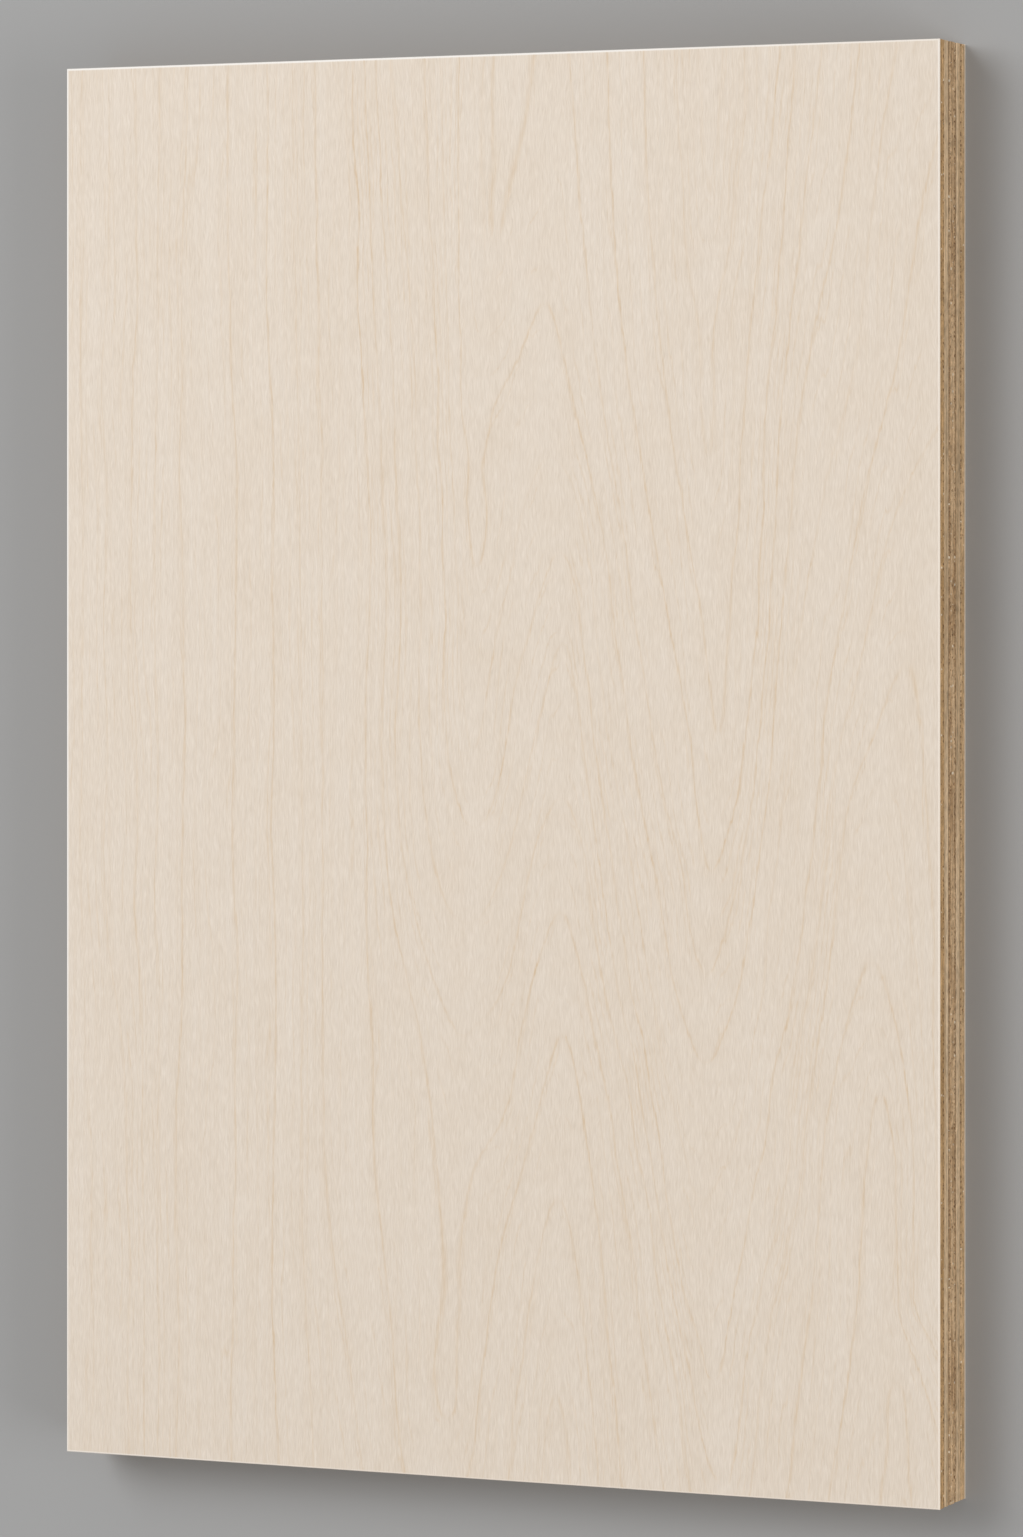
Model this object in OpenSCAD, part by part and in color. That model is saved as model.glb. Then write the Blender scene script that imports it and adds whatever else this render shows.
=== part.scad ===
// Seven-ply hardwood plywood sheet, lying flat with its face veneer up.
// Neighbouring plies cross at right angles, and the layup is the same on both sides of the core.
// Millimetres. The origin is the centre of the underside, +Y runs along the face grain, +Z is up.

/* [Sheet] */
// Width across the face grain
sheet_w = 220; // [100:1:1220]
// Length along the face grain
sheet_l = 330; // [100:1:2440]

/* [Plies] */
// Thickness of the face and back veneers, grain along the length
veneer_t = 0.6; // [0.4:0.1:1.5]
// Thickness of each crossband under the veneers, grain across the length
crossband_t = 2.8; // [1:0.1:4]
// Thickness of each inner ply beside the core, grain along the length
inner_t = 3.1; // [1:0.1:4]
// Thickness of the core ply, grain across the length
core_t = 5; // [1:0.1:6]

/* [Edges] */
// Sanded chamfer round the outside of the face and back veneers
arris = 0.2; // [0.05:0.05:0.35]

/* [Hidden] */

// Ply thicknesses from the underside up
layup = [veneer_t, crossband_t, inner_t, core_t, inner_t, crossband_t, veneer_t];

// Height of a ply's underside: every ply lies on the one below it
function ply_base(i) = i == 0 ? 0 : ply_base(i - 1) + layup[i - 1];

// Tones of the bare wood
veneer_tone = [0.90, 0.85, 0.78];
crossband_tone = [0.65, 0.52, 0.37];
inner_tone = [0.71, 0.61, 0.48];
core_tone = [0.64, 0.52, 0.40];

// One ply trimmed square to the sheet's outline, standing on z = 0
module trimmed_ply(thickness) {
    translate([-sheet_w / 2, -sheet_l / 2, 0])
        cube([sheet_w, sheet_l, thickness]);
}

// Section through a veneer along one side: square at the glue line, chamfered at the outer arrises
module veneer_section(span) {
    half = span / 2;
    polygon([
        [-half, 0],
        [half, 0],
        [half, veneer_t - arris],
        [half - arris, veneer_t],
        [-half + arris, veneer_t],
        [-half, veneer_t - arris]
    ]);
}

// One outer veneer with its glue side on z = 0: the sections across and along it, mitred at the corners
module outer_veneer() {
    intersection() {
        rotate([90, 0, 0])
            linear_extrude(height = sheet_l, center = true)
                veneer_section(sheet_w);
        rotate([90, 0, 90])
            linear_extrude(height = sheet_w, center = true)
                veneer_section(sheet_l);
    }
}

module back_veneer() {
    color(veneer_tone)
        translate([0, 0, ply_base(1)])
            mirror([0, 0, 1])
                outer_veneer();
}

module back_crossband() {
    color(crossband_tone)
        translate([0, 0, ply_base(1)])
            trimmed_ply(crossband_t);
}

module back_inner_ply() {
    color(inner_tone)
        translate([0, 0, ply_base(2)])
            trimmed_ply(inner_t);
}

module core_ply() {
    color(core_tone)
        translate([0, 0, ply_base(3)])
            trimmed_ply(core_t);
}

module face_inner_ply() {
    color(inner_tone)
        translate([0, 0, ply_base(4)])
            trimmed_ply(inner_t);
}

module face_crossband() {
    color(crossband_tone)
        translate([0, 0, ply_base(5)])
            trimmed_ply(crossband_t);
}

module face_veneer() {
    color(veneer_tone)
        translate([0, 0, ply_base(6)])
            outer_veneer();
}

back_veneer();
back_crossband();
back_inner_ply();
core_ply();
face_inner_ply();
face_crossband();
face_veneer();
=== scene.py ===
"""Seven-ply plywood sheet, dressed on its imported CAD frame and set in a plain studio.

The sheet lies flat with its face veneer up and its length along Y. Lengths are metres, and
millimetres where a name or a docstring says so. Every pattern is worked out from the part's own
place, so the grain runs on round the edges.
"""

import logging
import math
from dataclasses import dataclass, replace
from enum import Enum
from typing import Mapping, Sequence

import bpy
import numpy as np
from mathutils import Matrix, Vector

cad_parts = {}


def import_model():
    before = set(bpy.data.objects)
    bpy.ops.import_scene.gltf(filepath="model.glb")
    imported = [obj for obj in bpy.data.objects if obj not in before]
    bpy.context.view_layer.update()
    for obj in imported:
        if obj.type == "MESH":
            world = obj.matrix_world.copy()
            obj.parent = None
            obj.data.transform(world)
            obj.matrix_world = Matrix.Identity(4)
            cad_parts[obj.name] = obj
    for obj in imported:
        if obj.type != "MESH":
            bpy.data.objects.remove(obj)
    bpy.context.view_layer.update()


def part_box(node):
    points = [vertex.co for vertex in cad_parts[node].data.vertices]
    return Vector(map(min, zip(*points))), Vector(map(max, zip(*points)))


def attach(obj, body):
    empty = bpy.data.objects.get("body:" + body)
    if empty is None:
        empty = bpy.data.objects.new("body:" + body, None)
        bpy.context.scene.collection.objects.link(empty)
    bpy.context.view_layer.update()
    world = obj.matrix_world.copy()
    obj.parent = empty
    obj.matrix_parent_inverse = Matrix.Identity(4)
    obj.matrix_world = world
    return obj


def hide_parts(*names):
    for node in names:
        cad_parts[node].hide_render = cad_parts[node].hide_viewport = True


log = logging.getLogger("plywood_sheet")

MM = 0.001
GROWTH = "growth"
LINE_STRENGTH = "line_strength"
RING_PITCH = "ring_pitch"
RING_RUN = "ring_run"
END_GRAIN = "end_grain"
FLOAT = "NodeSocketFloat"
VECTOR = "NodeSocketVector"
# A place this near an edge, in millimetres, lies on it
ON_EDGE = 0.01

Socket = bpy.types.NodeSocket
Colour = tuple[float, float, float]


class Grain(Enum):
    """Which way a ply's fibres run, as the share of the length axis in their direction."""

    ACROSS = 0.0
    ALONG = 1.0


class Side(Enum):
    """Which way the bare side of an outer veneer looks."""

    FACE = 1.0
    BACK = -1.0


class Term:
    """A value in a node tree. Arithmetic and comparisons on it add Math nodes to the tree."""

    def __init__(self, graph: "Graph", socket: Socket) -> None:
        """Keeps the graph, and the socket that gives the value."""
        self.graph = graph
        self.socket = socket

    def __add__(self, other: "Value") -> "Term":
        """Adds a value to it."""
        return self.graph.math("ADD", self, other)

    def __sub__(self, other: "Value") -> "Term":
        """Takes a value from it."""
        return self.graph.math("SUBTRACT", self, other)

    def __rsub__(self, other: float) -> "Term":
        """Takes it from a number."""
        return self.graph.math("SUBTRACT", other, self)

    def __mul__(self, other: "Value") -> "Term":
        """Multiplies it by a value."""
        return self.graph.math("MULTIPLY", self, other)

    def __truediv__(self, other: "Value") -> "Term":
        """Divides it by a value."""
        return self.graph.math("DIVIDE", self, other)

    def __pow__(self, power: float) -> "Term":
        """Raises it to a power."""
        return self.graph.math("POWER", self, power)

    def __neg__(self) -> "Term":
        """Turns its sign round."""
        return self.graph.math("MULTIPLY", self, -1.0)

    def __abs__(self) -> "Term":
        """Drops its sign."""
        return self.graph.math("ABSOLUTE", self)

    def __lt__(self, other: "Value") -> "Term":
        """Gives 1 where it is less than a value, and 0 elsewhere."""
        return self.graph.math("LESS_THAN", self, other)

    def __gt__(self, other: "Value") -> "Term":
        """Gives 1 where it is greater than a value, and 0 elsewhere."""
        return self.graph.math("GREATER_THAN", self, other)


Value = float | Term


class Graph:
    """Short calls that add nodes to one shader or geometry tree."""

    DRAWN_ROUGH = 0.6

    def __init__(self, tree: bpy.types.NodeTree) -> None:
        """Keeps the tree that the nodes go to."""
        self.tree = tree

    def node(self, kind: str, **settings: object) -> bpy.types.Node:
        """Adds a node.

        Args:
            kind: Blender's name of the node type.
            settings: values of the node's own properties.

        Returns:
            The new node.
        """
        made = self.tree.nodes.new(kind)
        for name, value in settings.items():
            setattr(made, name, value)
        return made

    def terms(self, sockets: Sequence[Socket]) -> dict[str, Term]:
        """Gives the values of a node's outputs, by name."""
        return {socket.name: Term(self, socket) for socket in sockets}

    def attribute(self, name: str) -> Term:
        """Reads in a material what the mesh carries at each vertex under a name."""
        return Term(self, self.node("ShaderNodeAttribute", attribute_name=name).outputs["Fac"])

    def feed(self, socket: Socket, value: object) -> None:
        """Links a term to an input, or writes a plain value on it.

        Args:
            socket: the input.
            value: the term to link, or the value to write.
        """
        if isinstance(value, Term):
            self.tree.links.new(value.socket, socket)
        else:
            socket.default_value = value

    def math(self, operation: str, *values: Value) -> Term:
        """Adds a Math node on up to three values.

        Args:
            operation: Blender's name of the operation.
            values: its values, in order.

        Returns:
            The result.
        """
        made = self.node("ShaderNodeMath", operation=operation)
        for socket, value in zip(made.inputs, values):
            self.feed(socket, value)
        return Term(self, made.outputs[0])

    def scale(self, vector: Term, factor: Value) -> Term:
        """Adds a Vector Math node that scales a vector.

        Args:
            vector: the vector.
            factor: how many times longer it gets.

        Returns:
            The scaled vector.
        """
        made = self.node("ShaderNodeVectorMath", operation="SCALE")
        self.feed(made.inputs[0], vector)
        self.feed(made.inputs["Scale"], factor)
        return Term(self, made.outputs[0])

    def split(self, vector: Term) -> list[Term]:
        """Gives the three parts of a vector.

        Args:
            vector: the vector.

        Returns:
            Its x, y and z.
        """
        made = self.node("ShaderNodeSeparateXYZ")
        self.feed(made.inputs[0], vector)
        return [Term(self, part) for part in made.outputs]

    def join(self, x: Value, y: Value, z: Value = 0.0) -> Term:
        """Gives a vector of three values.

        Args:
            x: the first value.
            y: the second value.
            z: the third value.

        Returns:
            The vector.
        """
        made = self.node("ShaderNodeCombineXYZ")
        for socket, value in zip(made.inputs, (x, y, z)):
            self.feed(socket, value)
        return Term(self, made.outputs[0])

    def blend(self, share: Value, low: Value, high: Value) -> Term:
        """Mixes two values.

        Args:
            share: how much of the second value counts.
            low: the first value.
            high: the second value.

        Returns:
            The mixed value.
        """
        made = self.node("ShaderNodeMix", data_type="FLOAT")
        for index, value in zip((0, 2, 3), (share, low, high)):
            self.feed(made.inputs[index], value)
        return Term(self, made.outputs[0])

    def tint(self, share: Value, low: object, high: object, mode: str = "MIX") -> Term:
        """Mixes two colours.

        Args:
            share: how much of the second colour shows.
            low: the first colour, a term or three numbers.
            high: the second colour, a term or three numbers.
            mode: Blender's name of the blend mode.

        Returns:
            The mixed colour.
        """
        made = self.node("ShaderNodeMix", data_type="RGBA", blend_type=mode)
        self.feed(made.inputs[0], share)
        for index, value in zip((6, 7), (low, high)):
            self.feed(made.inputs[index], (*value, 1.0) if isinstance(value, tuple) else value)
        return Term(self, made.outputs[2])

    def ramp(
        self, value: Value, start: Value, stop: Value, low: float = 0.0, high: float = 1.0
    ) -> Term:
        """Maps a value smoothly from start..stop to low..high, and holds it outside.

        Args:
            value: the value.
            start: where the slope begins.
            stop: where it ends.
            low: the result at the start.
            high: the result at the stop.

        Returns:
            The mapped value.
        """
        made = self.node("ShaderNodeMapRange", interpolation_type="SMOOTHSTEP")
        for index, item in enumerate((value, start, stop, low, high)):
            self.feed(made.inputs[index], item)
        return Term(self, made.outputs[0])

    def noise(self, vector: Term, detail: float = 2.0, rough: float = 0.5) -> Term:
        """Gives soft noise about 0.5 with features of one unit.

        Args:
            vector: place, in features.
            detail: how many finer layers the noise has.
            rough: how strong each finer layer is beside the one before.

        Returns:
            The noise.
        """
        made = self.node("ShaderNodeTexNoise", noise_dimensions="3D")
        self.feed(made.inputs["Vector"], vector)
        made.inputs["Scale"].default_value = 1.0
        made.inputs["Detail"].default_value = detail
        made.inputs["Roughness"].default_value = rough
        return Term(self, made.outputs[0])

    def drawn(
        self, x: Term, y: Term, wide: float, long: float, seed: Value, detail: float = 2.0
    ) -> Term:
        """Gives noise about 0.5 that is drawn out along the second axis.

        Args:
            x: distance across, in millimetres.
            y: distance along, in millimetres.
            wide: size of a feature across, in millimetres.
            long: size of a feature along, in millimetres.
            seed: a number that picks another pattern.
            detail: how many finer layers the noise has.

        Returns:
            The noise.
        """
        return self.noise(self.join(x / wide, y / long, seed), detail, self.DRAWN_ROUGH)

    def about_zero(self, noise: Term) -> Term:
        """Moves noise about 0.5 to lie about 0."""
        return noise - 0.5

    def bell(self, value: Term, width: Value) -> Term:
        """Gives a soft peak of 1 at zero that has fallen to about 0.37 at the width."""
        return self.math("EXPONENT", -((value / width) ** 2.0))

    def cells(
        self, vector: Term, flat: bool = False, stray: float = 1.0
    ) -> tuple[Term, Term, Term]:
        """Scatters cells, one to each unit.

        Args:
            vector: place, in cells.
            flat: reads only the first two parts of the place.
            stray: how far the centres stray from an even grid.

        Returns:
            The distance to the nearest centre, the step from that centre, and the cell's random colour.
        """
        made = self.node("ShaderNodeTexVoronoi", voronoi_dimensions="2D" if flat else "3D")
        self.feed(made.inputs["Vector"], vector)
        made.inputs["Scale"].default_value = 1.0
        made.inputs["Randomness"].default_value = stray
        step = self.node("ShaderNodeVectorMath", operation="SUBTRACT")
        self.feed(step.inputs[0], vector)
        self.feed(step.inputs[1], Term(self, made.outputs["Position"]))
        given = (made.outputs["Distance"], step.outputs[0], made.outputs["Color"])
        return tuple(Term(self, socket) for socket in given)


class SurfaceGroup:
    """A shader node group with named inputs and outputs, built once and placed in materials."""

    def __init__(self, name: str, inputs: Mapping[str, str], outputs: Mapping[str, str]) -> None:
        """Makes the empty group.

        Args:
            name: the group's name.
            inputs: socket type of each named input.
            outputs: socket type of each named output.
        """
        self.tree = bpy.data.node_groups.new(name, "ShaderNodeTree")
        for socket, kind in inputs.items():
            self.tree.interface.new_socket(socket, in_out="INPUT", socket_type=kind)
        for socket, kind in outputs.items():
            self.tree.interface.new_socket(socket, in_out="OUTPUT", socket_type=kind)
        self.graph = Graph(self.tree)
        self.enter = self.graph.terms(self.graph.node("NodeGroupInput").outputs)
        self.leave = self.graph.node("NodeGroupOutput").inputs

    def give(self, name: str, value: Value) -> None:
        """Links a value to one of the group's outputs."""
        self.graph.feed(self.leave[name], value)

    def place(self, graph: Graph, values: Mapping[str, Value]) -> dict[str, Term]:
        """Puts the group in a material.

        Args:
            graph: the material's graph.
            values: a term or a number for each named input.

        Returns:
            The placed group's outputs, by name.
        """
        made = graph.node("ShaderNodeGroup", node_tree=self.tree)
        for name, value in values.items():
            graph.feed(made.inputs[name], value)
        return graph.terms(made.outputs)


@dataclass(frozen=True)
class PoreRule:
    """Pores of a ply, in millimetres: a row beside each glue line, and some scattered between.

    The shares are those of the places for a pore that have one. Along the fibres a pore is
    drawn out into a vessel, and the rows thicken and thin along the edge. The cluster's ramp and
    the pore's wall are what Graph.ramp takes after its value.
    """

    row_pitch: float
    row_radius: float
    row_share: float
    pore_pitch: float
    pore_radius: float
    pore_share: float

    NAMES = ("Row Pitch", "Row Radius", "Row Share", "Pore Pitch", "Pore Radius", "Pore Share")
    STRETCH = 9.0
    ROW_HEIGHT = 0.42
    ROW_LIFT = 0.36
    ROW_STRAY = 0.8
    ROW_GIRTH = 0.8
    LEAST_ROW_GIRTH = 0.6
    LEAST_GIRTH = 0.5
    UPPER_SHIFT = 17.3
    SEED_SHIFT = 3.7
    CLUSTER = (9.0, 60.0)
    CLUSTER_RAMP = (0.36, 0.60, 0.2, 1.0)
    FLATTEN = 0.68
    WALL = (1.25, 0.6)
    FILLED_FROM = 0.93
    SIDE_SHARE = 0.28

    def named(self) -> dict[str, float]:
        """Gives the rule's values by the names of the node inputs.

        Returns:
            The values.
        """
        values = (
            self.row_pitch, self.row_radius, self.row_share,
            self.pore_pitch, self.pore_radius, self.pore_share,
        )
        return dict(zip(self.NAMES, values))

    @staticmethod
    def shown(end_grain: Term) -> Term:
        """Gives how far the pores show: fully on end grain, and less along the fibres."""
        return end_grain * (1.0 - PoreRule.SIDE_SHARE) + PoreRule.SIDE_SHARE


PLACE_NAMES = (
    "Base", "Thickness", "Fibre Along Length", "Low Row", "High Row", "Low Line", "High Line", "Seed",
)


def fibre_axes(g: Graph, point: Term, along_length: Value) -> tuple[Term, Term, Term]:
    """Turns a place to the fibres of a ply.

    Args:
        g: the graph that the nodes go to.
        point: place in millimetres.
        along_length: 1 where the fibres run along the length, 0 across it.

    Returns:
        The distance along the fibres, the distance across them, and the height.
    """
    x, y, z = g.split(point)
    return g.blend(along_length, x, y), g.blend(along_length, y, x), z


def from_edge(g: Graph, x: Term, y: Term, sockets: Mapping[str, Term]) -> Term:
    """Looks for the nearest edge of the sheet.

    Args:
        g: the graph that the nodes go to.
        x: millimetres across, from the middle.
        y: millimetres along, from the middle.
        sockets: inputs named Half Width and Half Length.

    Returns:
        The distance in from that edge, in millimetres.
    """
    return g.math("MINIMUM", sockets["Half Width"] - abs(x), sockets["Half Length"] - abs(y))


def from_glue(g: Graph, height: Term, sockets: Mapping[str, Term]) -> tuple[Term, Term]:
    """Looks for the nearer glue line of a ply.

    Args:
        g: the graph that the nodes go to.
        height: height in millimetres.
        sockets: inputs named in PLACE_NAMES.

    Returns:
        The distance to the line in millimetres, and 1 for the upper line or 0 for the lower one.
    """
    above = height - sockets["Base"]
    below = sockets["Thickness"] - above
    return g.math("MINIMUM", above, below), above > below


def pore_mask(g: Graph, point: Term, sockets: Mapping[str, Term]) -> tuple[Term, Term]:
    """Finds the pores of a ply. The same nodes cut them in the mesh and colour them.

    Args:
        g: the graph that the nodes go to.
        point: place in millimetres.
        sockets: inputs named in PLACE_NAMES and PoreRule.NAMES.

    Returns:
        A mask that is 1 in an open pore, and one that is 1 in a filled, pale pore.
    """
    along, across, height = fibre_axes(g, point, sockets["Fibre Along Length"])
    depth, upper = from_glue(g, height, sockets)
    seed = sockets["Seed"]

    def inside(sideways: Term, upward: Term, radius: Term) -> Term:
        """Gives 1 in the middle of a pore, and 0 past its wall.

        Args:
            sideways: millimetres across the fibres, from the middle.
            upward: millimetres up, from the middle.
            radius: the pore's radius, in millimetres.

        Returns:
            The mask.
        """
        flat = upward * PoreRule.FLATTEN
        reach = g.math("SQRT", (sideways / radius) ** 2.0 + (flat / radius) ** 2.0)
        return g.ramp(reach, *PoreRule.WALL)

    pitch = sockets["Row Pitch"]
    shift = upper * PoreRule.UPPER_SHIFT + seed * PoreRule.SEED_SHIFT
    row = g.join(across / pitch + shift, along / (pitch * PoreRule.STRETCH) + seed)
    _, step, random = g.cells(row, flat=True, stray=PoreRule.ROW_STRAY)
    lift, girth, pick = g.split(random)
    radius = sockets["Row Radius"] * (girth * PoreRule.ROW_GIRTH + PoreRule.LEAST_ROW_GIRTH)
    centre = lift * PoreRule.ROW_LIFT + (PoreRule.ROW_HEIGHT - PoreRule.ROW_LIFT / 2.0)
    spots = inside(g.split(step)[0] * pitch, depth - centre, radius)
    share = sockets["Row Share"] * g.blend(upper, sockets["Low Row"], sockets["High Row"])
    thick = g.ramp(g.drawn(across, along, *PoreRule.CLUSTER, shift), *PoreRule.CLUSTER_RAMP)
    in_row = spots * (pick < share * thick)

    pitch = sockets["Pore Pitch"]
    spot = g.join(across / pitch, height / pitch + seed, along / (pitch * PoreRule.STRETCH))
    _, step, random = g.cells(spot)
    girth, pick, _ = g.split(random)
    sideways, upward, _ = g.split(g.scale(step, pitch))
    spots = inside(sideways, upward, sockets["Pore Radius"] * (girth + PoreRule.LEAST_GIRTH))
    loose = spots * (pick < sockets["Pore Share"])
    filled = spots * (pick > PoreRule.FILLED_FROM)
    return g.math("MAXIMUM", in_row, loose), filled


@dataclass(frozen=True)
class Strand:
    """One scale of the fibres' pattern: the size of a feature in millimetres, and its finer layers."""

    wide: float
    long: float
    detail: float
    rough: float
    sways: bool = False


STRANDS = {
    "Thread": Strand(0.22, 3.0, 1.0, 0.6, sways=True),
    "Fleck": Strand(0.34, 2.6, 1.0, 0.6, sways=True),
    "Speckle": Strand(0.9, 20.0, 3.0, 0.7),
    "Streak": Strand(0.55, 48.0, 2.0, 0.6),
    "Band": Strand(9.0, 260.0, 2.0, 0.5),
}


class Groups:
    """The surface effects that several finishes share.

    Sizes and widths are millimetres, and a size is across and then along. A ramp holds what
    Graph.ramp takes after its value, and a shift keeps two patterns apart.
    """

    def __init__(self) -> None:
        """Builds each group once."""
        self.fibres = self._fibres()
        self.glue = self._glue()
        self.pores = self._pores()
        self.vessels = self._vessels()
        self.growth = self._growth()
        self.layers = self._layers()
        self.rim = self._rim()

    @staticmethod
    def _fibres() -> SurfaceGroup:
        """Threads, flecks, speckles, streaks and bands drawn out along the fibres, each about 0.

        Returns:
            The group.
        """
        group = SurfaceGroup(
            "fibres",
            {"Point": VECTOR, "Fibre Along Length": FLOAT, "Seed": FLOAT},
            dict.fromkeys(STRANDS, FLOAT),
        )
        g, enter = group.graph, group.enter
        seed_shift = 7.1
        sway_size = (2.6, 6.0)
        sway_reach = 1.5
        along, across, height = fibre_axes(g, enter["Point"], enter["Fibre Along Length"])
        offset = enter["Seed"] * seed_shift
        swayed = g.drawn(across, along, *sway_size, offset) * sway_reach + across
        for name, strand in STRANDS.items():
            aside = swayed if strand.sways else across
            place = g.join(aside / strand.wide + offset, height / strand.wide, along / strand.long)
            group.give(name, g.about_zero(g.noise(place, strand.detail, strand.rough)))
        return group

    @staticmethod
    def _glue() -> SurfaceGroup:
        """Broken dark line where a ply is glued to the next, wider where it is stronger.

        Returns:
            The group.
        """
        group = SurfaceGroup(
            "glue_line",
            {"Point": VECTOR, **dict.fromkeys(PLACE_NAMES, FLOAT), "Width": FLOAT},
            {"Glue": FLOAT},
        )
        g, enter = group.graph, group.enter
        along, across, height = fibre_axes(g, enter["Point"], enter["Fibre Along Length"])
        depth, upper = from_glue(g, height, enter)
        rag_size = (1.7, 9.0)
        rag_detail = 3.0
        upper_shift = 9.0
        width_spread = 1.6
        least_width = 0.2
        full_share = 0.2
        breaks = (0.25, 0.65, 0.35, 1.0)
        seed = upper * upper_shift + enter["Seed"]
        ragged = g.drawn(across, along, *rag_size, seed, rag_detail)
        strength = g.blend(upper, enter["Low Line"], enter["High Line"])
        width = enter["Width"] * (ragged * width_spread + least_width)
        width = width * g.math("MAXIMUM", strength, 1.0)
        line = g.ramp(depth, width, width * full_share)
        group.give("Glue", line * g.ramp(ragged, *breaks) * strength)
        return group

    @staticmethod
    def _pores() -> SurfaceGroup:
        """Open and filled pores, as pore_mask finds them.

        Returns:
            The group.
        """
        group = SurfaceGroup(
            "pores",
            {"Point": VECTOR, **dict.fromkeys((*PLACE_NAMES, *PoreRule.NAMES), FLOAT)},
            {"Open": FLOAT, "Filled": FLOAT},
        )
        opened, filled = pore_mask(group.graph, group.enter["Point"], group.enter)
        group.give("Open", opened)
        group.give("Filled", filled)
        return group

    @staticmethod
    def _vessels() -> SurfaceGroup:
        """Short strokes that sway along the length: cut vessels, and fibres that stand proud.

        Returns:
            The group.
        """
        group = SurfaceGroup(
            "vessel_strokes", {"Point": VECTOR, "Seed": FLOAT}, {"Slit": FLOAT, "Proud": FLOAT}
        )
        g, enter = group.graph, group.enter
        sway_size = (2.2, 5.0)
        sway_reach = 1.6
        cell_wide = 0.62
        cell_long = 6.0
        girth_spread = 0.22
        least_girth = 0.16
        full_at = 0.04
        slits_below = 0.36
        proud_above = 0.70
        x, y, _ = g.split(enter["Point"])
        sway = g.drawn(x, y, *sway_size, enter["Seed"])
        place = g.join(sway * sway_reach + x / cell_wide, y / cell_long + enter["Seed"])
        distance, _, random = g.cells(place, flat=True)
        girth, pick, _ = g.split(random)
        stroke = g.ramp(distance, girth * girth_spread + least_girth, full_at)
        group.give("Slit", stroke * (pick < slits_below))
        group.give("Proud", stroke * (pick > proud_above))
        return group

    @staticmethod
    def _growth() -> SurfaceGroup:
        """Thin lines along the growth rings, hairlines between them, and soft veins and mottle.

        The lines fade where a ring turns across the fibres.

        Returns:
            The group.
        """
        group = SurfaceGroup(
            "growth_lines",
            {"Point": VECTOR, **dict.fromkeys(("Ring", "Strength", "Pitch", "Run", "Seed"), FLOAT)},
            dict.fromkeys(("Line", "Hair", "Haze", "Vein", "Straight", "Mottle"), FLOAT),
        )
        g, enter = group.graph, group.enter
        x, y, _ = g.split(enter["Point"])
        seed, pitch = enter["Seed"], enter["Pitch"]
        fine = 3.0
        rag_size = (0.7, 7.0)
        rag_reach = 1.3
        fray_size = (0.36, 7.0)
        fray_ramp = (0.34, 0.62, 0.45, 1.0)
        run_ramp = (0.66, 0.95, 0.16, 1.0)
        straight_ramp = (0.980, 0.998, 0.3, 1.0)
        fade_size = (6.0, 34.0)
        fade_ramp = (0.30, 0.56, 0.55, 1.0)
        width_gain = 0.0003
        least_width = 0.20
        haze_width = 1.5
        hair_width = 0.15
        hairs = 3.0
        wobble_size = (9.0, 90.0)
        wobble_reach = 2.4
        wobble_shift = 4.0
        thin_size = (5.0, 40.0)
        thin_ramp = (0.38, 0.62)
        thin_shift = 8.0
        veins = 9.0
        vein_size = (1.0, 95.0)
        mottle_size = (9.0, 16.0)
        ragged = g.about_zero(g.drawn(x, y, *rag_size, seed, fine))
        ring = ragged / pitch * rag_reach + enter["Ring"]
        frayed = g.ramp(g.drawn(x, y, *fray_size, seed), *fray_ramp) * g.ramp(enter["Run"], *run_ramp)

        def drawn_line(count: Term, gap: Term, width: Value) -> Term:
            """Draws a line at each whole number of a count whose lines lie a gap apart."""
            apart = count - g.math("ROUND", count)
            return g.bell(apart * gap, width) * frayed

        shown = g.ramp(g.drawn(x, y, *fade_size, seed), *fade_ramp) * enter["Strength"]
        width = pitch * pitch * width_gain + least_width
        group.give("Line", drawn_line(ring, pitch, width) * shown)
        group.give("Haze", drawn_line(enter["Ring"], pitch, haze_width) * shown)
        group.give("Straight", g.ramp(enter["Run"], *straight_ramp))
        wobble = g.drawn(x, y, *wobble_size, seed + wobble_shift) * wobble_reach
        hair = drawn_line(ring * hairs + wobble, pitch / hairs, hair_width)
        thin = g.ramp(g.drawn(x, y, *thin_size, seed + thin_shift), *thin_ramp)
        group.give("Hair", hair * thin)
        group.give("Vein", g.about_zero(g.drawn(ring * veins, y, *vein_size, seed, fine)))
        group.give("Mottle", g.about_zero(g.drawn(x, y, *mottle_size, seed, fine)))
        return group

    @staticmethod
    def _layers() -> SurfaceGroup:
        """Growth layers of a sawn edge, and the fuzz that the saw leaves, which is about 0.

        Returns:
            The group.
        """
        group = SurfaceGroup(
            "sawn_layers",
            {"Point": VECTOR, "Fibre Along Length": FLOAT, "Seed": FLOAT},
            {"Layer": FLOAT, "Fuzz": FLOAT},
        )
        g, enter = group.graph, group.enter
        layer_wide = 26.0
        layer_thick = 1.25
        layer_long = 110.0
        layer_ramp = (0.38, 0.62)
        fuzz_long = 1.7
        fuzz_thick = 0.8
        rough = 0.65
        along, across, height = fibre_axes(g, enter["Point"], enter["Fibre Along Length"])
        place = g.join(across / layer_wide, height / layer_thick + enter["Seed"], along / layer_long)
        group.give("Layer", g.ramp(g.noise(place, detail=3.0, rough=rough), *layer_ramp))
        x, y, z = g.split(enter["Point"])
        torn = g.join(x / fuzz_long, y / fuzz_long, z / fuzz_thick)
        group.give("Fuzz", g.about_zero(g.noise(torn, detail=2.0, rough=rough)))
        return group

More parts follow.
